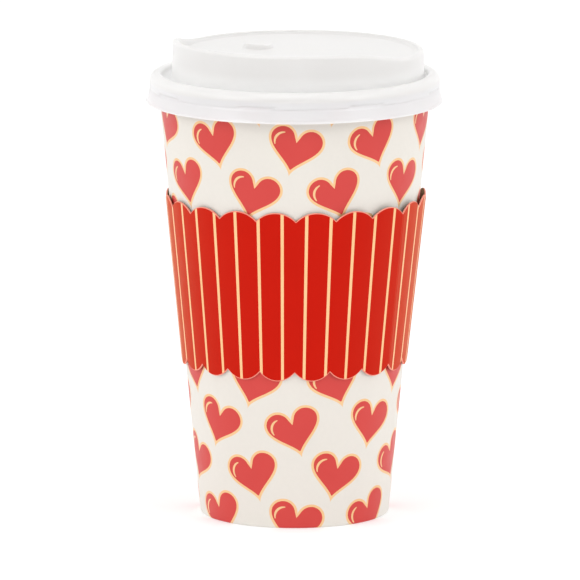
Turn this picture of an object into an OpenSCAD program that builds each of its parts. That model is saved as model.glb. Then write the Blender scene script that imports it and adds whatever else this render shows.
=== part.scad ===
// A 16 oz single-wall paper cup for hot drinks, with its dome lid and
// a scalloped paperboard hand sleeve. The cup stands on z = 0 with its axis on
// Z and its front towards -Y. Lengths are in millimetres, angles in degrees.

/* [Cup] */
// Height to the top of the rolled rim
cup_h = 139.3; // [136:0.1:142]
// Outside diameter of the rolled rim
rim_d = 89.9; // [89.5:0.1:90.1]
// Outside diameter of the wall where it meets the table
base_d = 59.5; // [57:0.1:61]
// Thickness of the coated paper
paper_t = 0.45; // [0.35:0.05:0.5]
// Radius of the rolled rim's section
roll_r = 1.2; // [1.15:0.05:1.25]
// Height of the bottom disc above the table
disc_z = 7.0; // [6.8:0.1:9]
// Height of the wall's turned-up fold inside the foot
fold_h = 6.0; // [5:0.1:6.4]
// Width of the glued side seam, as an angle
seam_deg = 11; // [8:1:14]
// How far the side seam stands proud of the wall
seam_t = 0.35; // [0.2:0.05:0.4]

/* [Lid] */
// Thickness of the formed plastic sheet
lid_t = 0.45; // [0.35:0.05:0.5]
// Outside radius of the crown, the rounded band over the rim
crown_r = 45.6; // [45.5:0.05:45.7]
// Radius of the crown's outer rounding
crown_round = 2.7; // [2.6:0.05:2.8]
// Height of the crown above the rolled rim
crown_h = 1.1; // [1.1:0.05:1.4]
// Depth of the valley between the crown and the dome
valley_h = 2.6; // [2.4:0.1:4.5]
// Height of the skirt below the rolled rim's centre
skirt_h = 6.65; // [5.8:0.05:7.2]
// How far the skirt flares outwards
skirt_flare = 0.7; // [0.4:0.1:1.2]
// Outside radius of the raised dome at its top
dome_r = 39.3; // [38.6:0.1:39.5]
// How far the dome sits off the axis, to the right
dome_x = 1.1; // [0.4:0.05:1.2]
// How far the dome sits off the axis, to the back
dome_y = 0.65; // [0.2:0.05:0.8]
// Height of the dome's ring above the rolled rim's centre
ring_h = 9.5; // [8:0.1:11]
// Extra height of the lip on the drinking side
lip_h = 3.4; // [3:0.1:4.5]
// Depth of the recessed deck below the ring
deck_dip = 1.0; // [0.6:0.1:1.6]
// Direction of the drinking side, measured from +X
mouth_dir = -121; // [-150:1:-90]
// Length of the sip opening
sip_l = 11; // [9:0.5:12]
// Width of the sip opening
sip_w = 6; // [5.6:0.1:6.4]

/* [Sleeve] */
// Outside radius of the sleeve, taken down to the table
sleeve_r0 = 30.6; // [30.5:0.01:30.8]
// Growth of that radius for each millimetre of height
sleeve_k = 0.1042; // [0.104:0.0001:0.106]
// Thickness of the paperboard
sleeve_t = 0.5; // [0.4:0.05:0.55]
// Height of the lowest points of the bottom edge
sleeve_lo = 47.9; // [44:0.1:52]
// Height of the highest points of the top edge
sleeve_hi = 102.1; // [96:0.1:106]
// Number of scallops along each edge
scallops = 20; // [16:1:24]
// Height of a scallop
scallop_h = 2.8; // [2:0.1:3.2]
// Direction of the first fold, measured from +X
fold_dir = -35.5; // [-60:0.5:-20]

/* [Hidden] */
$fn = 144;
slip = 0.05;
roll_z = cup_h - roll_r;
roll_c = rim_d / 2 - roll_r;
cup_k = (rim_d / 2 - 2 * roll_r - (base_d / 2 - paper_t)) / roll_z;
slot_w = paper_t + 2 * slip;
crown_z = cup_h + crown_h;
crown_c = crown_r - crown_round;
plug_r = 41.75;
bead_r = crown_c - plug_r;
ring_z = roll_z + ring_h;
lip_z = ring_z + lip_h;
deck_z = ring_z - deck_dip;
valley_z = crown_z - valley_h;
deck_r = dome_r - 2.2;
ramp_u = 29;
ramp_slope = 0.63;
dome_c = [dome_x, dome_y];
sip_u = 24.5;
button_at = [-11.6, 9.5];
edge_r = sleeve_r0 + sleeve_k * sleeve_hi;
foot_r = sleeve_r0 + sleeve_k * sleeve_lo;
top_half = edge_r * sin(180 / scallops);
foot_half = foot_r * sin(180 / scallops);

function cup_r(z) = base_d / 2 + cup_k * z;
function slv_r(z) = sleeve_r0 + sleeve_k * z;
function arc_r(w) = (w * w + scallop_h * scallop_h) / (2 * scallop_h);
function ease(x) = x <= 0 ? 0 : x >= 1 ? 1 : x * x * (3 - 2 * x);
function dome_ro(z) = dome_r + 0.03 * (lip_z - z);

// The rolled rim: the paper turns outwards and almost back to the wall.
module rim_roll() {
    translate([roll_c, roll_z]) difference() {
        circle(r = roll_r);
        circle(r = roll_r - paper_t);
        polygon([[0, 0], [-3, 0], [-3, -3], [-1.1, -3]]);
    }
}

// Half section of the wall, from the fold in the foot to the rim.
module wall_section() {
    polygon([
        [cup_r(0) - paper_t, 0], [cup_r(0), 0],
        [cup_r(roll_z), roll_z], [cup_r(roll_z) - paper_t, roll_z]
    ]);
    rim_roll();
    polygon([
        [cup_r(0) - 2 * paper_t - slot_w, 0], [cup_r(0), 0],
        [cup_r(paper_t), paper_t], [cup_r(0) - 2 * paper_t - slot_w, paper_t]
    ]);
    polygon([
        [cup_r(0) - 2 * paper_t - slot_w, 0], [cup_r(0) - paper_t - slot_w, 0],
        [cup_r(fold_h) - paper_t - slot_w, fold_h], [cup_r(fold_h) - 2 * paper_t - slot_w, fold_h]
    ]);
}

// The printed wall: one fan-shaped blank, rolled and glued along a side seam.
module cup_wall() color("#f2efe9") {
    union() {
        rotate_extrude() wall_section();
        rotate([0, 0, 90 - seam_deg / 2]) rotate_extrude(angle = seam_deg)
            polygon([
                [cup_r(1) - 0.2, 1], [cup_r(1) + seam_t, 1],
                [cup_r(roll_z - 2) + seam_t, roll_z - 2], [cup_r(roll_z - 2) - 0.2, roll_z - 2]
            ]);
    }
}

// The bottom disc: its edge is turned down into the wall's fold.
module cup_base() color("#f7f5f1") {
    rotate_extrude() union() {
        polygon([
            [0, disc_z], [cup_r(disc_z) - paper_t - slip, disc_z],
            [cup_r(disc_z + paper_t) - paper_t - slip, disc_z + paper_t], [0, disc_z + paper_t]
        ]);
        polygon([
            [cup_r(paper_t) - 2 * paper_t - slip, paper_t], [cup_r(paper_t) - paper_t - slip, paper_t],
            [cup_r(disc_z + paper_t) - paper_t - slip, disc_z + paper_t],
            [cup_r(disc_z + paper_t) - 2 * paper_t - slip, disc_z + paper_t]
        ]);
    }
}

// A quarter ring round c, from angle a on, as wide as the lid's sheet.
module bend(c, r, a) {
    translate(c) rotate(a) intersection() {
        difference() {
            circle(r = r);
            circle(r = r - lid_t);
        }
        square([r + 1, r + 1]);
    }
}

// Half section of the lid's edge: skirt, crown over the rim, plug and valley.
module lid_edge_section() {
    skirt_z = roll_z - 2.8;
    foot_z = roll_z - skirt_h;
    bend([crown_c, crown_z - crown_round], crown_round, 0);
    bend([crown_c, crown_z - bead_r], bead_r, 90);
    polygon([
        [crown_r - lid_t, crown_z - crown_round], [crown_r, crown_z - crown_round], [crown_r, skirt_z],
        [crown_r + skirt_flare, foot_z], [crown_r + skirt_flare + 0.2, foot_z - 0.35],
        [crown_r + skirt_flare - lid_t, foot_z - 0.35], [crown_r - lid_t, skirt_z]
    ]);
    polygon([
        [plug_r, crown_z - bead_r], [plug_r + lid_t, crown_z - bead_r],
        [plug_r + lid_t - 0.15, valley_z - lid_t], [plug_r - 0.15, valley_z - lid_t]
    ]);
    polygon([
        [dome_r - 1.6, valley_z - lid_t], [plug_r + lid_t - 0.15, valley_z - lid_t],
        [plug_r + 0.1, valley_z], [dome_r - 1.6, valley_z]
    ]);
}

// Side outline of the dome's top: level at the back, a raised lip in front.
module lip_outline(drop) {
    polygon(concat(
        [[-60, valley_z - 3], [60, valley_z - 3], [60, lip_z - drop]],
        [for (i = [12:-1:0]) [-3 + 28 * i / 12, ring_z + lip_h * ease(i / 12) - drop]],
        [[-60, ring_z - drop]]
    ));
}

module across() {
    rotate([90, 0, 0]) translate([0, 0, -60]) linear_extrude(height = 120) children();
}

// The dome's drafted body up to the lip, its wall moved inwards by d.
module dome_body(d, bottom) {
    intersection() {
        translate([0, 0, bottom]) cylinder(
            h = lip_z + 1 - bottom, r1 = dome_ro(bottom) - d, r2 = dome_ro(lip_z + 1) - d
        );
        across() lip_outline(d);
    }
}

module button(d) {
    rotate([0, 0, -mouth_dir]) translate([button_at[0] - dome_c[0], button_at[1] - dome_c[1], deck_z - 1])
        cylinder(h = 2.4 - d, r1 = 5.1 - d, r2 = 4.2 - d);
}

// The recess above the deck, its faces moved outwards by d.
module deck_recess(d) {
    difference() {
        translate([0, 0, deck_z - d]) cylinder(h = 12, r1 = deck_r - 0.2 + d, r2 = deck_r + 0.4 + d);
        across() translate([d * 1.8, 0]) polygon([
            [ramp_u - 2, deck_z - 2 * ramp_slope], [60, deck_z - 2 * ramp_slope],
            [60, deck_z + (60 - ramp_u) * ramp_slope]
        ]);
        button(d);
    }
}

// The formed lid: one thin sheet from the skirt's edge to the deck.
module lid() color("#fbfbfb") {
    difference() {
        union() {
            rotate_extrude() lid_edge_section();
            translate([dome_c[0], dome_c[1], 0]) rotate([0, 0, mouth_dir])
                dome_body(0, valley_z - lid_t);
            rotate([0, 0, 174]) rotate_extrude(angle = 9)
                translate([crown_r + skirt_flare - 0.2, roll_z - skirt_h - 0.35]) square([0.9, 0.4]);
        }
        translate([dome_c[0], dome_c[1], 0]) rotate([0, 0, mouth_dir]) {
            deck_recess(0);
            difference() {
                dome_body(lid_t, valley_z - lid_t - 2);
                deck_recess(lid_t);
            }
            translate([sip_u, 0, deck_z - 3]) linear_extrude(height = 6) {
                square([sip_w, sip_l - sip_w], center = true);
                for (s = [-1, 1]) translate([0, s * (sip_l - sip_w) / 2]) circle(d = sip_w);
            }
        }
    }
}

// The sharp notch between two scallops, as a block reaching out from the axis.
// The arcs rise 0.05 past the band's edge, so each scallop ends in a short flat.
module notch(half, z) {
    rotate([90, 0, 90]) translate([0, 0, 28]) linear_extrude(height = 20)
        translate([0, z]) difference() {
            translate([-half, 0]) square([2 * half, scallop_h + 3]);
            for (s = [-1, 1]) translate([s * half, scallop_h + 0.05 - arc_r(half)]) circle(r = arc_r(half));
        }
}

// The hand sleeve: one folded and glued band with scalloped edges.
module sleeve() color("#d4402f") {
    zl = sleeve_lo;
    zh = sleeve_hi;
    lap_lo = zl + scallop_h + 0.5;
    lap_hi = zh - scallop_h - 0.5;
    difference() {
        union() {
            rotate_extrude() polygon([
                [slv_r(zl) - sleeve_t, zl], [slv_r(zl), zl], [slv_r(zh), zh], [slv_r(zh) - sleeve_t, zh]
            ]);
            // the glued lap, a second layer inside the band
            rotate([0, 0, 51]) rotate_extrude(angle = 17) polygon([
                [slv_r(lap_lo) - 1.7 * sleeve_t, lap_lo], [slv_r(lap_lo) - 0.5 * sleeve_t, lap_lo],
                [slv_r(lap_hi) - 0.5 * sleeve_t, lap_hi], [slv_r(lap_hi) - 1.7 * sleeve_t, lap_hi]
            ]);
        }
        for (i = [0:scallops - 1]) rotate([0, 0, -90 + i * 360 / scallops]) {
            notch(top_half, sleeve_hi - scallop_h);
            translate([0, 0, 2 * (sleeve_lo + scallop_h)]) mirror([0, 0, 1])
                notch(foot_half, sleeve_lo + scallop_h);
        }
        for (a = [fold_dir, fold_dir + 180]) rotate([0, 0, a - 0.35]) rotate_extrude(angle = 0.7)
            polygon([
                [slv_r(zl - 1) - 0.15, zl - 1], [slv_r(zl - 1) + 1, zl - 1],
                [slv_r(zh + 1) + 1, zh + 1], [slv_r(zh + 1) - 0.15, zh + 1]
            ]);
    }
}

cup_wall();
cup_base();
lid();
sleeve();
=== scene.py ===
import math

import bmesh
import bpy
import numpy as np
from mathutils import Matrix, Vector, geometry


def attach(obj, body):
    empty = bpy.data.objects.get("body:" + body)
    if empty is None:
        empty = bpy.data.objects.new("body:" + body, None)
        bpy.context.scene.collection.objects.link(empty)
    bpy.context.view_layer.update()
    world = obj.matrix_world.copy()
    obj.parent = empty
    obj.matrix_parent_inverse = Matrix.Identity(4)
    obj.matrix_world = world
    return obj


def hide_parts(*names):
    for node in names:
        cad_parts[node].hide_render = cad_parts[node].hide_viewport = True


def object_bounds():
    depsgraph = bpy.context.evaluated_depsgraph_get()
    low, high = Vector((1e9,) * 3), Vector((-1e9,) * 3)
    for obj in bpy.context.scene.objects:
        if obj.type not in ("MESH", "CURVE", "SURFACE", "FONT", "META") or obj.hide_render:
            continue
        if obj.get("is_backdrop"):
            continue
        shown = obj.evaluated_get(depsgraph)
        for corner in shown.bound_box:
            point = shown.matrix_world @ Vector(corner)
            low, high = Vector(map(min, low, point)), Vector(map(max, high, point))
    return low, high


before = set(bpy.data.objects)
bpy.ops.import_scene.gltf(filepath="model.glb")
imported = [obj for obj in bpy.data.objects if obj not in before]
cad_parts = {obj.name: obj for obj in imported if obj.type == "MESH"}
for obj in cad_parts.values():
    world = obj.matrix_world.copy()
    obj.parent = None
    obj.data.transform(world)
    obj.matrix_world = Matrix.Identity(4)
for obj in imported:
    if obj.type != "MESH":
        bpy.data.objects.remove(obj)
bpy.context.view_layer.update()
MM = 0.001

# ---------------------------------------------------------------- sizes, mm
T = 0.45
CUP_H = 139.3
ROLL_R = 1.2
ROLL_Z = CUP_H - ROLL_R
ROLL_C = 89.9 / 2 - ROLL_R
BASE_R = 59.5 / 2
CUP_K = (89.9 / 2 - 2 * ROLL_R - (BASE_R - T)) / ROLL_Z
SLOT = T + 0.1
DISC_Z = 7.0
FOLD_H = 6.0
LID_T = 0.45
CROWN_R = 45.6
CROWN_RR = 2.7
CROWN_Z = CUP_H + 1.1
CROWN_C = CROWN_R - CROWN_RR
PLUG_R = 41.75
BEAD_R = CROWN_C - PLUG_R
VALLEY_Z = CROWN_Z - 2.6
SKIRT_TOP = ROLL_Z - 2.8
SKIRT_FOOT = ROLL_Z - 6.65
FLARE = 0.7
DOME_R = 39.3
RING_Z = ROLL_Z + 9.5
LIP_H = 3.4
LIP_Z = RING_Z + LIP_H
DECK_Z = RING_Z - 1.0
MOUTH = math.radians(-121)
DOME_C = np.array([1.1, 0.65])
SIP_U, SIP_L, SIP_W = 24.5, 11.0, 6.0
BUTTON = np.array([-11.6, 9.5])
SLV_R0, SLV_K, SLV_T = 30.6, 0.1042, 0.5
SLV_LO, SLV_HI, SCALLOP_H, SCALLOPS = 47.9, 102.1, 2.8, 20


def cup_r(z):
    return BASE_R + CUP_K * z


def slv_r(z):
    return SLV_R0 + SLV_K * z


def smooth(x):
    x = np.clip(x, 0.0, 1.0)
    return x * x * (3 - 2 * x)


# ------------------------------------------------------------ mesh helpers
def build(name, verts, faces, mats, index=None, weld=1e-4, sharp=None):
    """A mesh object from millimetre points; faces may be triangles or quads."""
    me = bpy.data.meshes.new(name)
    me.from_pydata((np.asarray(verts, float) * MM).tolist(), [], faces)
    for m in mats:
        me.materials.append(m)
    if index is not None:
        me.polygons.foreach_set("material_index", np.asarray(index, np.int32))
    if weld:
        bm = bmesh.new()
        bm.from_mesh(me)
        bmesh.ops.remove_doubles(bm, verts=bm.verts, dist=weld * MM)
        bmesh.ops.dissolve_degenerate(bm, edges=bm.edges, dist=1e-8)
        loose = [v for v in bm.verts if not v.link_faces]
        bmesh.ops.delete(bm, geom=loose, context="VERTS")
        bm.to_mesh(me)
        bm.free()
    me.polygons.foreach_set("use_smooth", np.ones(len(me.polygons), bool))
    if sharp:
        me.set_sharp_from_angle(angle=math.radians(sharp))
    me.update()
    o = bpy.data.objects.new(name, me)
    bpy.context.scene.collection.objects.link(o)
    return o


def fix_normals(o):
    bm = bmesh.new()
    bm.from_mesh(o.data)
    bmesh.ops.recalc_face_normals(bm, faces=bm.faces)
    bm.to_mesh(o.data)
    bm.free()


def arc(cx, cy, r, a0, a1, n):
    return [
        (cx + r * math.cos(math.radians(a0 + (a1 - a0) * i / n)), cy + r * math.sin(math.radians(a0 + (a1 - a0) * i / n)))
        for i in range(n + 1)
    ]


def at(psi, r, z):
    """A point by azimuth in radians from the front, positive to the right."""
    return np.stack([r * np.sin(psi), -r * np.cos(psi), z + 0 * psi], axis=-1)


def grid_faces(rows, cols, base=0, closed=False, flip=False):
    out = []
    for i in range(rows - 1):
        for j in range(cols if closed else cols - 1):
            k = (j + 1) % cols
            q = (base + i * cols + j, base + i * cols + k, base + (i + 1) * cols + k, base + (i + 1) * cols + j)
            out.append(q[::-1] if flip else q)
    return out


def clip_half(poly, axis, limit, keep_low):
    """A polygon cut by a line of constant x or y."""
    out = []
    n = len(poly)
    for i in range(n):
        a, b = poly[i], poly[(i + 1) % n]
        ina = (a[axis] <= limit) == keep_low or a[axis] == limit
        inb = (b[axis] <= limit) == keep_low or b[axis] == limit
        if ina:
            out.append(a)
        if ina != inb:
            t = (limit - a[axis]) / (b[axis] - a[axis])
            out.append(a + t * (b - a))
    return np.array(out) if len(out) > 2 else None


def inside(poly, pts):
    """Which points lie inside a closed polygon."""
    x, y = pts[:, 0], pts[:, 1]
    c = np.zeros(len(pts), bool)
    n = len(poly)
    for i in range(n):
        (x0, y0), (x1, y1) = poly[i], poly[(i + 1) % n]
        if y0 == y1:
            continue
        hit = (y0 > y) != (y1 > y)
        c ^= hit & (x < (x1 - x0) * (y - y0) / (y1 - y0) + x0)
    return c


def near_lines(pts, lines, reach):
    """Which points lie within reach of any outline's points."""
    from mathutils.kdtree import KDTree

    allp = np.concatenate(lines)
    kd = KDTree(len(allp))
    for i, p in enumerate(allp):
        kd.insert((p[0], p[1], 0), i)
    kd.balance()
    return np.array([kd.find((p[0], p[1], 0))[2] < reach for p in pts])


def offset_in(poly, w):
    """A closed outline moved inwards by w, with mitred corners."""
    n = len(poly)
    area = 0.5 * sum(
        poly[i][0] * poly[(i + 1) % n][1] - poly[(i + 1) % n][0] * poly[i][1] for i in range(n)
    )
    s = 1.0 if area > 0 else -1.0
    out = []
    for i in range(n):
        a, b, c = poly[i - 1], poly[i], poly[(i + 1) % n]
        d0, d1 = (b - a) / np.linalg.norm(b - a), (c - b) / np.linalg.norm(c - b)
        n0, n1 = s * np.array([-d0[1], d0[0]]), s * np.array([-d1[1], d1[0]])
        m = n0 + n1
        m /= np.linalg.norm(m)
        out.append(b + m * w / max(0.55, float(np.dot(m, n0))))
    out = np.array(out)
    # near a sharp tip the moved sides cross: keep only what is a full w away
    fine = np.concatenate([poly[i - 1] + (poly[i] - poly[i - 1]) * t for i in range(n) for t in (np.linspace(0, 1, 9)[:-1, None],)])
    gap = np.array([np.min(np.hypot(*(fine - q).T)) for q in out])
    return out[gap > 0.96 * w]


# --------------------------------------------------------------- materials
def lin(r, g, b):
    def f(c):
        c /= 255.0
        return c / 12.92 if c <= 0.04045 else ((c + 0.055) / 1.055) ** 2.4

    return (f(r), f(g), f(b), 1.0)


class Mat:
    """A Principled material with fine procedural colour, relief and gloss."""

    def __init__(self, name, color, rough, **sockets):
        self.m = bpy.data.materials.new(name)
        self.m.use_nodes = True
        self.nt = self.m.node_tree
        self.n = self.nt.nodes
        self.p = next(x for x in self.n if x.type == "BSDF_PRINCIPLED")
        self.p.inputs["Base Color"].default_value = color
        self.p.inputs["Roughness"].default_value = rough
        self.color = color
        self.rough = rough
        for k, v in sockets.items():
            self.p.inputs[k.replace("_", " ")].default_value = v
        self.co = self.n.new("ShaderNodeTexCoord")
        self.m.diffuse_color = color
        self.relief = None

    def noise(self, scale, detail=3.0, rough=0.55, stretch=None):
        src = self.co.outputs["Object"]
        if stretch:
            mp = self.n.new("ShaderNodeMapping")
            mp.inputs["Scale"].default_value = stretch
            self.nt.links.new(src, mp.inputs["Vector"])
            src = mp.outputs["Vector"]
        t = self.n.new("ShaderNodeTexNoise")
        t.inputs["Scale"].default_value = scale
        t.inputs["Detail"].default_value = detail
        t.inputs["Roughness"].default_value = rough
        self.nt.links.new(src, t.inputs["Vector"])
        return t.outputs["Fac"]

    def voronoi(self, scale):
        t = self.n.new("ShaderNodeTexVoronoi")
        t.inputs["Scale"].default_value = scale
        self.nt.links.new(self.co.outputs["Object"], t.inputs["Vector"])
        return t.outputs["Distance"]

    def zone(self, r0, r1, z0, z1):
        """1 up to radius r0 and height z0, falling to 0 at r1 and z1; either pair may run downwards."""
        xyz = self.n.new("ShaderNodeSeparateXYZ")
        self.nt.links.new(self.co.outputs["Object"], xyz.inputs[0])
        flat = self.n.new("ShaderNodeCombineXYZ")
        self.nt.links.new(xyz.outputs["X"], flat.inputs["X"])
        self.nt.links.new(xyz.outputs["Y"], flat.inputs["Y"])
        rad = self.n.new("ShaderNodeVectorMath")
        rad.operation = "LENGTH"
        self.nt.links.new(flat.outputs[0], rad.inputs[0])
        both = self.n.new("ShaderNodeMath")
        both.operation = "MULTIPLY"
        for i, (src, a, b) in enumerate(((rad.outputs["Value"], r0, r1), (xyz.outputs["Z"], z0, z1))):
            mr = self.n.new("ShaderNodeMapRange")
            mr.interpolation_type = "SMOOTHSTEP"
            mr.inputs["From Min"].default_value = a
            mr.inputs["From Max"].default_value = b
            mr.inputs["To Min"].default_value = 1.0
            mr.inputs["To Max"].default_value = 0.0
            self.nt.links.new(src, mr.inputs["Value"])
            self.nt.links.new(mr.outputs["Result"], both.inputs[i])
        return both.outputs[0]

    def tint(self, fac, color, low=0.35, high=0.65, amount=1.0):
        """Blends the colour towards another one where fac is high."""
        r = self.n.new("ShaderNodeMapRange")
        r.inputs["From Min"].default_value = low
        r.inputs["From Max"].default_value = high
        r.inputs["To Max"].default_value = amount
        self.nt.links.new(fac, r.inputs["Value"])
        mx = self.n.new("ShaderNodeMix")
        mx.data_type = "RGBA"
        old = self.p.inputs["Base Color"]
        if old.is_linked:
            self.nt.links.new(old.links[0].from_socket, mx.inputs[6])
        else:
            mx.inputs[6].default_value = self.color
        mx.inputs[7].default_value = color
        self.nt.links.new(r.outputs["Result"], mx.inputs[0])
        self.nt.links.new(mx.outputs[2], self.p.inputs["Base Color"])
        return self

    def gloss(self, fac, low, high):
        r = self.n.new("ShaderNodeMapRange")
        r.inputs["From Min"].default_value = 0.3
        r.inputs["From Max"].default_value = 0.7
        r.inputs["To Min"].default_value = low
        r.inputs["To Max"].default_value = high
        self.nt.links.new(fac, r.inputs["Value"])
        self.nt.links.new(r.outputs["Result"], self.p.inputs["Roughness"])
        return self

    def bump(self, fac, strength, depth):
        b = self.n.new("ShaderNodeBump")
        b.inputs["Strength"].default_value = strength
        b.inputs["Distance"].default_value = depth
        self.nt.links.new(fac, b.inputs["Height"])
        if self.relief:
            self.nt.links.new(self.relief, b.inputs["Normal"])
        self.relief = b.outputs["Normal"]
        self.nt.links.new(self.relief, self.p.inputs["Normal"])
        return self


def paper(name, color, rough, fibre=1.0, **sockets):
    m = Mat(name, color, rough, **sockets)
    dark = tuple(c * 0.975 for c in color[:3]) + (1,)
    light = tuple(min(1, c * 1.015) for c in color[:3]) + (1,)
    m.tint(m.noise(55, 2.0), dark, 0.3, 0.7, 0.6)
    m.tint(m.noise(800, 1.0), light, 0.3, 0.7, 0.6)
    m.gloss(m.noise(300, 1.0), rough - 0.04, rough + 0.05)
    m.bump(m.noise(1400, 1.0, 0.5, (1, 1, 0.5)), 0.06 * fibre, 0.00003)
    m.bump(m.noise(180, 1.0), 0.05 * fibre, 0.00015)
    return m


def ink(name, color, low, rough, **sockets):
    m = Mat(name, color, rough, **sockets)
    m.tint(m.noise(50, 2.0), low, 0.3, 0.7, 0.7)
    m.gloss(m.noise(300, 1.0), rough - 0.04, rough + 0.05)
    m.bump(m.noise(1200, 1.0, 0.5, (1, 1, 0.5)), 0.06, 0.00003)
    m.bump(m.noise(180, 1.0), 0.06, 0.00015)
    return m


cup_ground = paper("cup_print_ground", lin(222, 217, 209), 0.45)
cup_red = ink("cup_print_red", lin(206, 66, 61), lin(201, 61, 57), 0.4, Specular_IOR_Level=0.3)
cup_gold = ink("cup_print_gold", lin(237, 196, 146), lin(232, 186, 130), 0.36, Metallic=0.3)
cup_inner = paper("cup_inner_coated", lin(240, 238, 234), 0.4, 0.25)
cup_edge = paper("cup_cut_edge", lin(232, 226, 214), 0.75, 1.5)
base_mat = paper("cup_bottom_paper", lin(238, 236, 231), 0.4)

slv_red = ink(
    "sleeve_print_red", lin(193, 16, 2), lin(188, 14, 2), 0.5,
    Specular_IOR_Level=0.05, Sheen_Weight=0.42, Sheen_Roughness=0.46, Sheen_Tint=(1.0, 0.58, 0.24, 1.0),
)
slv_gold = ink("sleeve_print_gold", lin(246, 197, 144), lin(240, 185, 128), 0.38, Metallic=0.3)
slv_core = paper("sleeve_cut_edge", lin(238, 146, 126), 0.8, 1.5)
slv_inside = paper("sleeve_inside_board", lin(150, 112, 78), 0.85, 2.0)

lid_mat = Mat("lid_formed_plastic", lin(223, 221, 219), 0.3)
lid_mat.p.inputs["Subsurface Weight"].default_value = 1.0
lid_mat.p.inputs["Subsurface Radius"].default_value = (1.0, 1.0, 1.0)
lid_mat.p.inputs["Subsurface Scale"].default_value = 0.001
lid_mat.p.inputs["Specular IOR Level"].default_value = 0.5
lid_mat.bump(lid_mat.noise(60, 1.0), 0.06, 0.0002)
# painted light: the valley between crown and dome and the dome's lower wall are tinted paler, standing in for light
# the thin sheet would carry down into them
lid_mat.tint(lid_mat.zone(0.0427, 0.0431, 0.1375, 0.1455), (0.985, 0.98, 0.97, 1.0), 0.0, 1.0, 0.9)
# painted shade: a little greyer over the skirt below the crown; painted highlight: paler along the crown's rolled top
lid_mat.tint(lid_mat.zone(0.0446, 0.0438, 0.1368, 0.1384), lin(218, 217, 218), 0.0, 1.0)
lid_mat.tint(lid_mat.zone(0.0432, 0.0426, 0.1391, 0.1380), lin(229, 227, 225), 0.0, 1.0)

# ------------------------------------------------------ the cup's printed wall
# The print is laid out on the flat, fan-shaped blank and carried to the cone.
ALPHA = math.atan(CUP_K)
SIN_A, COS_A = math.sin(ALPHA), math.cos(ALPHA)
RHO0 = BASE_R / SIN_A


def heart(width):
    t = np.linspace(0, 2 * math.pi, 64, endpoint=False)
    x = 16 * np.sin(t) ** 3
    y = 13 * np.cos(t) - 5 * np.cos(2 * t) - 2 * np.cos(3 * t) - np.cos(4 * t)
    p = np.stack([x, y + 2.0], 1) * width / 32
    # even spacing along the outline, the notch and the tip kept as points
    out = []
    for half in (p[:33], np.concatenate([p[32:], p[:1]])):
        d = np.concatenate([[0], np.cumsum(np.linalg.norm(np.diff(half, axis=0), axis=1))])
        n = max(8, int(round(d[-1] / 0.62)))
        s = np.linspace(0, d[-1], n + 1)[:-1]
        out.append(np.stack([np.interp(s, d, half[:, 0]), np.interp(s, d, half[:, 1])], 1))
    return np.concatenate(out)


def stroke(points, w):
    """A tapering pen stroke of width w along a few points."""
    p = np.array(points, float)
    d = np.gradient(p, axis=0)
    d /= np.linalg.norm(d, axis=1)[:, None]
    nrm = np.stack([-d[:, 1], d[:, 0]], 1)
    k = np.sin(np.linspace(0.18, math.pi - 0.18, len(p)))[:, None] ** 0.6 * w / 2
    return np.concatenate([p + nrm * k, (p - nrm * k)[::-1]])


HEART_W = 18.0
outer_heart = heart(HEART_W)
inner_heart = offset_in(outer_heart, 0.8)
shine = stroke(arc(-3.75, 2.1, 3.05, 208, 98, 14), 0.75)

motifs = []
PX, PY = 26.6, 15.2
for row in range(-2, 12):
    for col in range(-7, 8):
        x = (col + (0.5 if row % 2 else 0.0)) * PX
        y = 1.0 + row * PY
        tilt = math.radians(16 if (col + (row // 2)) % 2 else -13)
        motifs.append((x, y, tilt))


def to_blank(shape, m):
    x, y, a = m
    c, s = math.cos(a), math.sin(a)
    return np.stack([x + c * shape[:, 0] - s * shape[:, 1], y + s * shape[:, 0] + c * shape[:, 1]], 1)


def blank_to_uv(p):
    """Flat blank (x right, y up from the foot at the middle) to azimuth (degrees) and slant height (mm)."""
    X, Y = p[:, 0], RHO0 + p[:, 1]
    rho = np.hypot(X, Y)
    return np.stack([np.degrees(np.arctan2(X, Y)) / SIN_A, rho - RHO0], 1)


# outline of the sheet's section: the printed face, then the coated face
foot_in = BASE_R - 2 * T - SLOT
P = [(cup_r(z) - 2 * T - SLOT, z) for z in (6.0, 4.5, 3.0, 1.6)]
P += arc(foot_in + 0.06 + 0.4, 0.4, 0.4, 180, 270, 4)
n_foot = len(P) - 1
P += arc(BASE_R + 0.04 - 0.6, 0.6, 0.6, -90, -5.5, 7)
WALL_ROWS = [1.2, 2.4] + [4 + 3.85 * i for i in range(35)]
P += [(cup_r(z), z) for z in WALL_ROWS if z < 136.6]
P += [(cup_r(136.9), 136.9)]
n_top = len(P) - 1
P += [(cup_r(137.5), 137.5)] + arc(ROLL_C, ROLL_Z, ROLL_R - T, 180, -112, 22)
P = np.array(P)
Q = np.array(
    arc(ROLL_C, ROLL_Z, ROLL_R, -112, 180, 30)
    + [(cup_r(z) - T, z) for z in (137.2, 135, 132, 127, 122, 116, 109, 100, 90, 80, 70, 60, 50, 40, 30, 20, 12, 9, 7.6, 7.2, 6.0, 4.0, 2.0, 1.0)]
    + arc(BASE_R - T - 0.18, T + 0.22, 0.22, 0, -90, 3)
    + arc(BASE_R - T - SLOT + 0.2, T + 0.2, 0.2, -90, -180, 3)
    + [(cup_r(z) - T - SLOT, z) for z in (1.2, 3.0, 4.5, 6.0)]
)
cumul = np.concatenate([[0], np.cumsum(np.linalg.norm(np.diff(P, axis=0), axis=1))])
# arc length at the wall's virtual foot, so that slant height w lies at V0 + w
k_ref = n_foot + 1 + 8
V0 = cumul[k_ref] - P[k_ref][1] / COS_A

PSI0, PSI1 = -174.5, 185.5
NCOL = 288
cols = np.linspace(PSI0, PSI1, NCOL + 1)
cols = np.sort(np.concatenate([cols, [172.9, 173.5, 174.1, 174.8, 185.2]]))
cols = cols[np.concatenate([[True], np.diff(cols) > 0.12])]
DEG = 0.65


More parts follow.
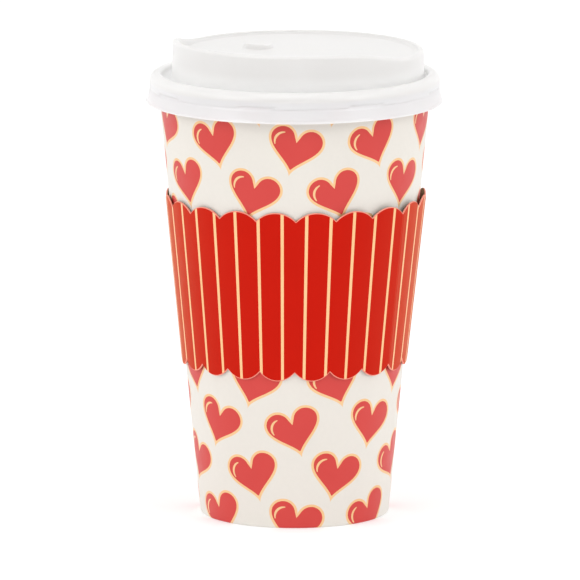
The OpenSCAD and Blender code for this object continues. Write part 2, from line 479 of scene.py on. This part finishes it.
def seam_rise(psi, z):
    lift = 0.35 * smooth((psi - 172.6) / 2.2)
    return lift * smooth((z - 0.5) / 2.0) * (1 - smooth((z - 132.0) / 3.6))


def wall_point(psi, s):
    r = np.interp(s, cumul, P[:, 0])
    z = np.interp(s, cumul, P[:, 1])
    r = r + seam_rise(psi, z)
    a = np.radians(psi)
    return np.stack([r * np.sin(a), -r * np.cos(a), z], 1)


def split_long(g, limit=1.1):
    """Adds points to long straight sides, so that they follow the round wall."""
    out = []
    for a, b in zip(g, np.roll(g, -1, axis=0)):
        n = max(1, int(math.ceil(np.linalg.norm((b - a) * [DEG, 1]) / limit)))
        out += [a + (b - a) * k / n for k in range(n)]
    return np.array(out)


va, vb = cumul[n_foot], cumul[n_top]
rows = cumul[n_foot : n_top + 1]
polys = []
for m in motifs:
    group = []
    for shape in (outer_heart, inner_heart, shine):
        uv = blank_to_uv(to_blank(shape, m))
        uv[:, 1] += V0
        group.append(uv)
    mid = group[0].mean(axis=0)
    if mid[1] < va - 9 or mid[1] > vb + 9:
        continue
    if group[0][:, 0].max() < PSI0 + 0.6 or group[0][:, 0].min() > PSI1 - 0.7:
        continue
    # the seam cuts the print off, as the edge of the blank does
    cut = []
    for g in group:
        for axis, limit, low in ((0, PSI0 + 0.35, False), (0, PSI1 - 0.45, True), (1, va + 0.35, False), (1, vb - 0.4, True)):
            g = clip_half(g, axis, limit, low) if g is not None else None
        if g is not None:
            g = g[np.linalg.norm(np.diff(np.vstack([g, g[:1]]), axis=0) * [DEG, 1], axis=1) > 0.02]
            g = split_long(g) if len(g) > 2 else None
        cut.append(g)
    if cut[0] is not None:
        polys.append(cut)

outlines = [g * [DEG, 1] for cut in polys for g in cut if g is not None]
bound = [(c, va) for c in cols] + [(PSI1, r) for r in rows[1:]] + [(c, vb) for c in cols[::-1][1:]] + [(PSI0, r) for r in rows[::-1][1:-1]]
bound = np.array(bound) * [DEG, 1]
gx, gy = np.meshgrid(cols[1:-1], rows[1:-1])
inner_pts = np.stack([gx.ravel(), gy.ravel()], 1) * [DEG, 1]
inner_pts = inner_pts[~near_lines(inner_pts, outlines, 0.24)]
pts = [bound, inner_pts] + outlines
edges = [(i, (i + 1) % len(bound)) for i in range(len(bound))]
k = len(bound) + len(inner_pts)
for g in outlines:
    edges += [(k + i, k + (i + 1) % len(g)) for i in range(len(g))]
    k += len(g)
pts = np.concatenate(pts)
cdt = geometry.delaunay_2d_cdt([Vector(p) for p in pts], edges, [], 0, 1e-6)
uv = np.array([tuple(v) for v in cdt[0]])
tris = np.array([f for f in cdt[2] if len(f) == 3])
cen = uv[tris].mean(axis=1)
PAPER, RED, GOLD, INNER, EDGE = range(5)
kind = np.full(len(tris), PAPER)
for cut in polys:
    o, i, s = [g * [DEG, 1] if g is not None else None for g in cut]
    lo, hi = o.min(axis=0), o.max(axis=0)
    near = np.where(((cen >= lo) & (cen <= hi)).all(axis=1))[0]
    if not len(near):
        continue
    c = cen[near]
    within = inside(o, c)
    kind[near[within]] = GOLD
    if i is not None:
        kind[near[within & inside(i, c)]] = RED
    if s is not None:
        kind[near[within & inside(s, c)]] = GOLD

verts = [wall_point(uv[:, 0] / DEG, uv[:, 1])]
faces = [tuple(int(v) for v in t) for t in tris]
index = list(kind)
count = len(verts[0])

# the cut edge of the overlapping seam: a narrow step between the two ends
step_a = wall_point(np.full(len(rows), PSI1), rows)
step_b = wall_point(np.full(len(rows), PSI0), rows)
verts.append(np.concatenate([step_a, step_b]))
n = len(rows)
for i in range(n - 1):
    faces.append((count + i, count + i + 1, count + n + i + 1, count + n + i))
    index.append(EDGE)
count += 2 * n


def revolve_rows(profile, psi):
    return np.concatenate([at(psi, r, z) for r, z in profile])


ring = np.radians(cols[:-1])


def add_band(profile, mat, closed=True):
    global count
    verts.append(revolve_rows(profile, ring))
    f = grid_faces(len(profile), len(ring), count, closed=closed)
    faces.extend(f)
    index.extend([mat] * len(f))
    count += len(profile) * len(ring)


add_band(P[: n_foot + 1], PAPER)
add_band(P[n_top:], PAPER)
add_band([P[-1], Q[0]], EDGE)
add_band(Q, INNER)
add_band([Q[-1], P[0]], EDGE)
wall = build(
    "cup_wall_paper",
    np.concatenate(verts),
    faces,
    [cup_ground.m, cup_red.m, cup_gold.m, cup_inner.m, cup_edge.m],
    index,
    weld=2e-3,
)
fix_normals(wall)
wall.data.set_sharp_from_angle(angle=math.radians(38))
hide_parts("cup_wall")
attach(wall, "cup")

# ------------------------------------------------------------ the cup's bottom
g = 0.05
S = [(0.0, DISC_Z), (10, DISC_Z), (20, DISC_Z), (27.0, DISC_Z)]
ro = cup_r(DISC_Z) - T - g
S += arc(ro - T - 0.55, DISC_Z - 0.55, 0.55, 90, 0, 4)
S += [(cup_r(z) - 2 * T - g, z) for z in (5.5, 4.0, 2.5, 1.2, T + 0.01)]
S += [(cup_r(z) - T - g, z) for z in (T + 0.01, 1.2, 2.5, 4.0, 5.5, 6.4)]
S += arc(ro - 0.98, DISC_Z + T - 1.0, 1.0, 0, 90, 6)
S += [(27.0, DISC_Z + T), (20, DISC_Z + T), (10, DISC_Z + T), (0.0, DISC_Z + T)]
psi = np.radians(np.arange(0, 360, 2.0))
base = build("cup_bottom_disc", revolve_rows(S, psi), grid_faces(len(S), len(psi), 0, closed=True), [base_mat.m], weld=1e-3, sharp=45)
fix_normals(base)
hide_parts("cup_base")
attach(base, "cup")

# -------------------------------------------------------------------- the lid
NL = 360
psi = np.radians(np.arange(NL) * 360.0 / NL)
dirs = np.stack([np.sin(psi), -np.cos(psi)], 1)
mouth = np.array([math.cos(MOUTH), math.sin(MOUTH)])
side = np.array([-mouth[1], mouth[0]])


def ease(x):
    x = np.clip(x, 0, 1)
    return x * x * (3 - 2 * x)


def lug(center):
    d = (np.degrees(psi) - center + 180) % 360 - 180
    return smooth((8.5 - np.abs(d)) / 2.0)


lugs = sum(lug(-15.5 + 45 * i) for i in range(8))
tab_d = (np.degrees(psi) - 268.5 + 180) % 360 - 180
tab = smooth((4.5 - np.abs(tab_d)) / 2.5)

lid_rows = []


def lid_row(r, z, centre=0.0):
    r = np.zeros(NL) + r
    z = np.zeros(NL) + z
    xy = dirs * r[:, None] + centre * DOME_C
    lid_rows.append(np.column_stack([xy, z]))


foot_z = SKIRT_FOOT
lid_row(CROWN_R + FLARE + 0.18 + 0.45 * tab, foot_z - 0.35)
lid_row(CROWN_R + FLARE + 0.18 + 0.42 * tab, foot_z - 0.12)
lid_row(CROWN_R + FLARE + 0.08 + 0.22 * tab, foot_z + 0.1)
for f in (0.08, 0.2, 0.35, 0.5, 0.65, 0.8, 0.92):
    z = foot_z + (SKIRT_TOP - foot_z) * f
    lid_row(CROWN_R + FLARE * (1 - f) - 0.02, z)
for z in np.linspace(SKIRT_TOP, CROWN_Z - CROWN_RR, 11)[:-1]:
    pinch = 0.16 * math.exp(-(((z - SKIRT_TOP) / 0.35) ** 2))
    dent = 0.45 * math.exp(-(((z - 135.95) / 0.4) ** 2))
    lid_row(CROWN_R - 0.02 - pinch - dent * lugs, z)
for a in range(0, 91, 6):
    lid_row(CROWN_C + CROWN_RR * math.cos(math.radians(a)), CROWN_Z - CROWN_RR + CROWN_RR * math.sin(math.radians(a)))
for a in range(105, 181, 15):
    lid_row(CROWN_C + BEAD_R * math.cos(math.radians(a)), CROWN_Z - BEAD_R + BEAD_R * math.sin(math.radians(a)))
wall_in = PLUG_R
# the valley: one round trough from the plug's wall to the dome's
VALLEY_RISE = 1.25
gap = np.hypot(*(dirs * (wall_in - DOME_R - 0.47) - DOME_C).T)
narrow = 1.2 * (1 - smooth((gap - 0.6) / 1.6))
for a in range(0, 181, 15):
    t = (1 - math.cos(math.radians(a))) / 2
    lid_row(
        (wall_in - 0.05) * (1 - t) + (DOME_R + 0.42) * t,
        VALLEY_Z + VALLEY_RISE - (VALLEY_RISE - narrow) * math.sin(math.radians(a)),
        t,
    )

u_edge = DOME_R * (dirs @ mouth)
H = RING_Z + LIP_H * ease((u_edge + 3.0) / 28.0) - 0.02


def dome_ro(z):
    return DOME_R + 0.03 * (LIP_Z - z)


RF = 1.0  # outer fillet at the dome's top
lo_z = VALLEY_Z + VALLEY_RISE
for f in (0.05, 0.15, 0.28, 0.42, 0.56, 0.7, 0.84, 1.0):
    z = lo_z + (H - RF - lo_z) * f
    lid_row(dome_ro(z), z, 1.0)
for a in (12, 24, 36, 48, 60, 72, 84, 90):
    c, s = math.cos(math.radians(a)), math.sin(math.radians(a))
    zc = H - RF
    lid_row(dome_ro(zc) - RF + RF * c, zc + RF * s, 1.0)

# the deck: a height field inside the rim
R_IN = 37.55


def deck_height(xy, Hs):
    """Height at points given relative to the dome's centre; Hs is the rim's height there."""
    u = xy @ mouth
    v = xy @ side
    r = np.hypot(xy[:, 0], xy[:, 1])
    z = np.full(len(xy), DECK_Z)
    k = 0.45
    ramp = DECK_Z + (u - 29.0) * 0.63
    z = 0.5 * (z + ramp + np.sqrt((z - ramp) ** 2 + k * k)) - 0.0
    z = np.where(u > 22, z, DECK_Z + 0.0)
    blend = smooth((u - 18) / 6)
    z = DECK_Z * (1 - blend) + z * blend
    # a shallow well round the sip opening
    du, dv = u - SIP_U, np.maximum(np.abs(v) - (SIP_L - SIP_W) / 2, 0)
    ds = np.hypot(du, dv) - SIP_W / 2
    z = z - 0.35 * smooth((2.6 - ds) / 2.2)
    # the press-in button
    b = np.hypot(*(xy + DOME_C - BUTTON).T)
    z = z + 1.4 * smooth((5.0 - b) / 1.3) + 0.12 * smooth((3.4 - b) / 3.4)
    wall = z + (Hs - 0.62 - z) * smooth((r - (R_IN - 1.25)) / 1.25) ** 0.9
    z = np.maximum(z, wall)
    return np.minimum(z, Hs - 0.05)


def rim_height(xy):
    a = xy / np.maximum(np.linalg.norm(xy, axis=1), 1e-6)[:, None]
    return RING_Z + LIP_H * ease((DOME_R * (a @ mouth) + 3.0) / 28.0)


# inner edge of the rim, rolled over to meet the deck field
for a, dz in ((96, 0.0), (110, 0.0), (126, 0.0), (142, 0.0)):
    c, s = math.cos(math.radians(a)), math.sin(math.radians(a))
    zc = H - 0.8
    lid_row(dome_ro(H - RF) - RF + 0.8 * c, zc + 0.8 * s, 1.0)

hex_pts = []
step = 0.85
for j in range(-60, 61):
    y = j * step * math.sqrt(3) / 2
    x = (np.arange(-60, 61) + (0.5 if j % 2 else 0)) * step
    hex_pts.append(np.stack([x, np.full(len(x), y)], 1))
hex_pts = np.concatenate(hex_pts)
rr = np.hypot(hex_pts[:, 0], hex_pts[:, 1])
rings = []
for r in (R_IN, 37.43, 37.3, 37.17, 37.04, 36.9, 36.76, 36.62, 36.48, 36.32, 36.1, 35.8, 35.4):
    nn = NL if r > 36.2 else NL // 2
    a = np.radians(np.arange(nn) * 360.0 / nn)
    rings.append(np.stack([r * np.sin(a), -r * np.cos(a)], 1))
hex_pts = hex_pts[rr < 34.9]


def slot_line(grow, n=14):
    pts = []
    h = (SIP_L - SIP_W) / 2
    r = SIP_W / 2 + grow
    for s, a0 in ((1, 0), (-1, 180)):
        for i in range(n + 1):
            a = math.radians(a0 + 180 * i / n)
            pts.append((SIP_U + r * math.cos(a), s * h + r * math.sin(a)))
    p = np.array(pts)
    return p[:, :1] * mouth + p[:, 1:] * side


hole = slot_line(0.0)
soft = [slot_line(gr) for gr in (0.25, 0.6, 1.1, 1.7, 2.4)]
butt = []
bc = BUTTON - DOME_C
for r in (1.2, 2.4, 3.3, 3.7, 3.95, 4.2, 4.45, 4.7, 4.95, 5.3):
    nn = max(12, int(2 * math.pi * r / 0.5))
    a = np.linspace(0, 2 * math.pi, nn, endpoint=False)
    butt.append(np.stack([bc[0] + r * np.cos(a), bc[1] + r * np.sin(a)], 1))
keep = (np.hypot(*(hex_pts - bc).T) > 5.7) & ~near_lines(hex_pts, [hole] + soft, 0.42) & ~inside(hole, hex_pts)
hex_pts = hex_pts[keep]
pts = np.concatenate([rings[0], hole] + rings[1:] + soft + butt + [hex_pts])
edges = [(i, (i + 1) % NL) for i in range(NL)]
edges += [(NL + i, NL + (i + 1) % len(hole)) for i in range(len(hole))]
cdt = geometry.delaunay_2d_cdt([Vector(p) for p in pts], edges, [], 0, 1e-6)
dxy = np.array([tuple(v) for v in cdt[0]])
dtr = np.array([f for f in cdt[2] if len(f) == 3])
cen = dxy[dtr].mean(axis=1)
dtr = dtr[~inside(hole, cen) & (np.hypot(cen[:, 0], cen[:, 1]) < R_IN)]
dz = deck_height(dxy, rim_height(dxy))
deck = np.column_stack([dxy + DOME_C, dz])

lid_verts = np.concatenate(lid_rows)
lid_faces = grid_faces(len(lid_rows), NL, 0, closed=True)
base_i = len(lid_verts)
lid_verts = np.concatenate([lid_verts, deck])
lid_faces += [tuple(int(v) + base_i for v in t) for t in dtr]
# stitch the last swept row to the deck's outer ring, point by point
outer = {}
for i, p in enumerate(dxy):
    if abs(math.hypot(p[0], p[1]) - R_IN) < 1e-3:
        a = int(round(math.degrees(math.atan2(p[0], -p[1])) * NL / 360.0)) % NL
        outer[a] = base_i + i
last = (len(lid_rows) - 1) * NL
for j in range(NL):
    k2 = (j + 1) % NL
    lid_faces.append((last + j, last + k2, outer[k2], outer[j]))
lid = build("lid_formed_shell", lid_verts, lid_faces, [lid_mat.m], weld=1e-3)
fix_normals(lid)
up = [p for p in lid.data.polygons if p.center.z > (DECK_Z - 0.2) * MM and abs(p.normal.z) > 0.9]
if up and sum(p.normal.z for p in up) < 0:
    lid.data.flip_normals()
sol = lid.modifiers.new("sheet", "SOLIDIFY")
sol.thickness = LID_T * MM
sol.offset = -1.0
sol.use_even_offset = True
sol.use_rim = True
sol.thickness_clamp = 0.0
dg = bpy.context.evaluated_depsgraph_get()
solid = bpy.data.meshes.new_from_object(lid.evaluated_get(dg))
lid.modifiers.clear()
lid.data = solid
lid.data.polygons.foreach_set("use_smooth", np.ones(len(lid.data.polygons), bool))
lid.data.set_sharp_from_angle(angle=math.radians(50))
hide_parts("lid")
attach(lid, "lid")

# ----------------------------------------------------------------- the sleeve
FOLDS = (54.5, 234.5)
STRIPES = 33
PITCH = 360.0 / STRIPES
stripe_mid = [(-6.16 + PITCH * i + 360) % 360 for i in range(STRIPES)]
HALF = 0.71
cut = list(np.arange(0, 360, 0.75))
for m in stripe_mid:
    cut += [(m - HALF) % 360, (m + HALF) % 360]
for f in FOLDS:
    cut += [f - 1.4, f - 0.8, f - 0.45, f - 0.2, f, f + 0.2, f + 0.45, f + 0.8, f + 1.4]
LAP = 159.2
cut += [LAP, LAP + 0.2]
strong = {round(LAP, 4), round(LAP + 0.2, 4)} | set(round(v, 4) for m in stripe_mid for v in ((m - HALF) % 360, (m + HALF) % 360))
strong |= set(round(float(9 * i), 4) for i in range(40)) | set(round(f, 4) for f in FOLDS)
cut = sorted(set(round(float(v), 4) for v in cut))
kept = []
for v in cut:
    if kept and v - kept[-1] < 0.16:
        if v in strong and kept[-1] not in strong:
            kept[-1] = v
        elif v in strong and kept[-1] in strong and v - kept[-1] > 0.02:
            kept.append(v)
        continue
    kept.append(v)
az = np.array(kept)
NS = len(az)
rad = np.radians(az)


def scallop(a):
    """0 in a valley, 1 on a peak: a round arch between sharp valleys."""
    f = (a % 18.0) / 18.0 * 2 - 1
    w = 6.35
    R = (w * w + SCALLOP_H**2) / (2 * SCALLOP_H)
    return (np.sqrt(np.maximum(R * R - (f * w) ** 2, 0)) - (R - SCALLOP_H)) / SCALLOP_H


arch = scallop(az)
z_top = SLV_HI - SCALLOP_H + SCALLOP_H * arch
z_bot = SLV_LO + SCALLOP_H - SCALLOP_H * arch


slope = np.gradient(np.concatenate([z_top[-3:], z_top, z_top[:3]]), np.concatenate([az[-3:] - 360, az, az[:3] + 360]))[3:-3]
slope = np.arctan(np.abs(slope) / math.radians(1.0) / 40.0)
lip = 0.27 / np.maximum(np.cos(slope), 0.6)


def fold_offset(a):
    """The band stands proud along its two folds and is flatter beside them."""
    out = np.zeros_like(a)
    for f, side_reach in zip(FOLDS, (4.6, 9.0)):
        d = (a - f + 180) % 360 - 180
        reach = np.where(d > 0, side_reach, 9.0)
        d = np.abs(d)
        out += 0.66 * np.exp(-d / reach) - 0.13 * np.exp(-(((d - 24) / 11.0) ** 2))
        out -= 0.10 * np.exp(-((d / 0.28) ** 2))
    return out


flare = fold_offset(az)
# the glued lap at the back: the outer end lies on the inner one and stops at its cut edge
ease = 0.3 * smooth((LAP + 8 - az) / 8)
lap_out = np.where(az < LAP + 0.1, 0.25 * smooth((az - (LAP - 18)) / 6), -ease)
lap_in = -ease * smooth((az - (LAP - 18)) / 0.8)
# between the folds the band is drawn tighter onto the cup, most so at the top
tight = sum(k * np.exp(-((((az - mid + 180) % 360 - 180) / 30.0) ** 2)) for mid, k in ((-4.0, 1.0), (180.0, 0.25)))
wave = 0.10 * np.sin(np.radians(az * 3 + 40)) + 0.06 * np.sin(np.radians(az * 5 - 20))


def slv_points(depth, z):
    """A row of the band at heights z, depth mm inside its printed face."""
    pull = 0.3 + 0.38 * np.clip((z - 50.0) / 50.0, 0, 1)
    r = slv_r(z) + flare + wave - 0.08 - pull * tight - depth
    r = r + (lap_out if depth < SLV_T - 0.1 else lap_in)
    shift = 0.38 - 0.0085 * (94.6 - z)
    return np.stack([r * np.sin(rad) + shift, -r * np.cos(rad), z], 1)


ts = [0.0, 0.03, 0.08, 0.15, 0.23, 0.31, 0.39, 0.47, 0.55, 0.63, 0.71, 0.79, 0.86, 0.92, 0.97, 1.0]
BEV = 0.2
f_lo, f_hi = z_bot + lip, z_top - lip
rows_o = [slv_points(BEV, z_bot)] + [slv_points(0.0, f_lo + (f_hi - f_lo) * t) for t in ts] + [slv_points(BEV, z_top)]
rows_i = [slv_points(SLV_T - 0.04, z_top)] + [
    slv_points(SLV_T, z_bot + 0.06 + (z_top - z_bot - 0.12) * t) for t in ts[::-1]
] + [slv_points(SLV_T - 0.04, z_bot)]
loop = rows_o + rows_i
verts = np.concatenate(loop)
n_out, n_in = len(rows_o), len(rows_i)
RED_S, GOLD_S, CORE_S, IN_S = range(4)


def in_stripe(a):
    return any(abs((a - m + 180) % 360 - 180) < HALF for m in stripe_mid)


col_mid = [(az[j] + (az[(j + 1) % NS] + (360 if j == NS - 1 else 0))) / 2 for j in range(NS)]
striped = [in_stripe(c % 360) for c in col_mid]
lap_edge = [LAP < c < LAP + 0.2 for c in col_mid]
faces, index = [], []
nrow = len(loop)
for i in range(nrow):
    i2 = (i + 1) % nrow
    if 1 <= i <= n_out - 3:
        kind_i = "face"
    elif n_out <= i <= n_out + n_in - 2:
        kind_i = IN_S
    else:
        kind_i = CORE_S
    for j in range(NS):
        k2 = (j + 1) % NS
        faces.append((i * NS + j, i * NS + k2, i2 * NS + k2, i2 * NS + j))
        index.append((CORE_S if lap_edge[j] else GOLD_S if striped[j] else RED_S) if kind_i == "face" else kind_i)
sleeve = build("sleeve_board", verts, faces, [slv_red.m, slv_gold.m, slv_core.m, slv_inside.m], index, weld=0, sharp=None)
fix_normals(sleeve)
sleeve.data.set_sharp_from_angle(angle=math.radians(32))
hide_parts("sleeve")
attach(sleeve, "sleeve")

# ------------------------------------------------------ stage, light, camera
bpy.context.scene.view_settings.view_transform = "Standard"
world = bpy.data.worlds.new("studio")
bpy.context.scene.world = world
world.use_nodes = True
wn = world.node_tree.nodes
bg = wn["Background"]
bg.inputs["Strength"].default_value = 1.0
# a white studio: bright at the sides, above and behind, darker in front
wc = wn.new("ShaderNodeTexCoord")
sep = wn.new("ShaderNodeSeparateXYZ")
ramp = wn.new("ShaderNodeMapRange")
ramp.interpolation_type = "SMOOTHSTEP"
ramp.inputs["From Min"].default_value = -1.0
ramp.inputs["From Max"].default_value = -0.35
ramp.inputs["To Min"].default_value = 0.2
ramp.inputs["To Max"].default_value = 1.05
world.node_tree.links.new(wc.outputs["Generated"], sep.inputs[0])
world.node_tree.links.new(sep.outputs["Y"], ramp.inputs["Value"])
world.node_tree.links.new(ramp.outputs["Result"], bg.inputs["Color"])

me = bpy.data.meshes.new("floor")
me.from_pydata([(-12, -12, 0), (12, -12, 0), (12, 12, 0), (-12, 12, 0)], [], [(0, 1, 2, 3)])
floor = bpy.data.objects.new("floor", me)
bpy.context.scene.collection.objects.link(floor)
fm = Mat("floor_white", (0.66, 0.66, 0.66, 1), 0.8)
fm.tint(fm.noise(3, 2.0), (0.65, 0.65, 0.653, 1), 0.4, 0.7, 0.5)
fm.p.inputs["Emission Color"].default_value = (1, 1, 1, 1)
fm.p.inputs["Emission Strength"].default_value = 0.36
me.materials.append(fm.m)
floor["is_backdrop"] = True


def area(name, loc, target, size, power, color=(1, 1, 1)):
    d = bpy.data.lights.new(name, "AREA")
    d.shape = "DISK"
    d.size = size
    d.energy = power
    d.color = color
    o = bpy.data.objects.new(name, d)
    bpy.context.scene.collection.objects.link(o)
    o.location = loc
    o.rotation_euler = (Vector(target) - Vector(loc)).to_track_quat("-Z", "Y").to_euler()
    return o


area("left", (-1.7, -1.3, 1.1), (0, 0, 0.08), 1.3, 12.5)
area("right", (1.7, -1.3, 1.1), (0, 0, 0.08), 1.3, 11.5)
area("low_front", (0.0, -2.6, 0.12), (0, 0, 0.04), 1.0, 7.5)
area("top", (0.0, -0.25, 1.9), (0, 0, 0.1), 0.7, 3.2)

cam_data = bpy.data.cameras.new("camera")
cam_data.lens = 596.0
cam_data.sensor_width = 36.0
cam_data.clip_end = 60.0
cam = bpy.data.objects.new("camera", cam_data)
bpy.context.scene.collection.objects.link(cam)
cam.location = (-0.00145, -2.9790, 0.6128)
cam.rotation_euler = (math.pi / 2 - 0.18004, 0, 0)
bpy.context.scene.camera = cam

lo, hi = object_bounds()
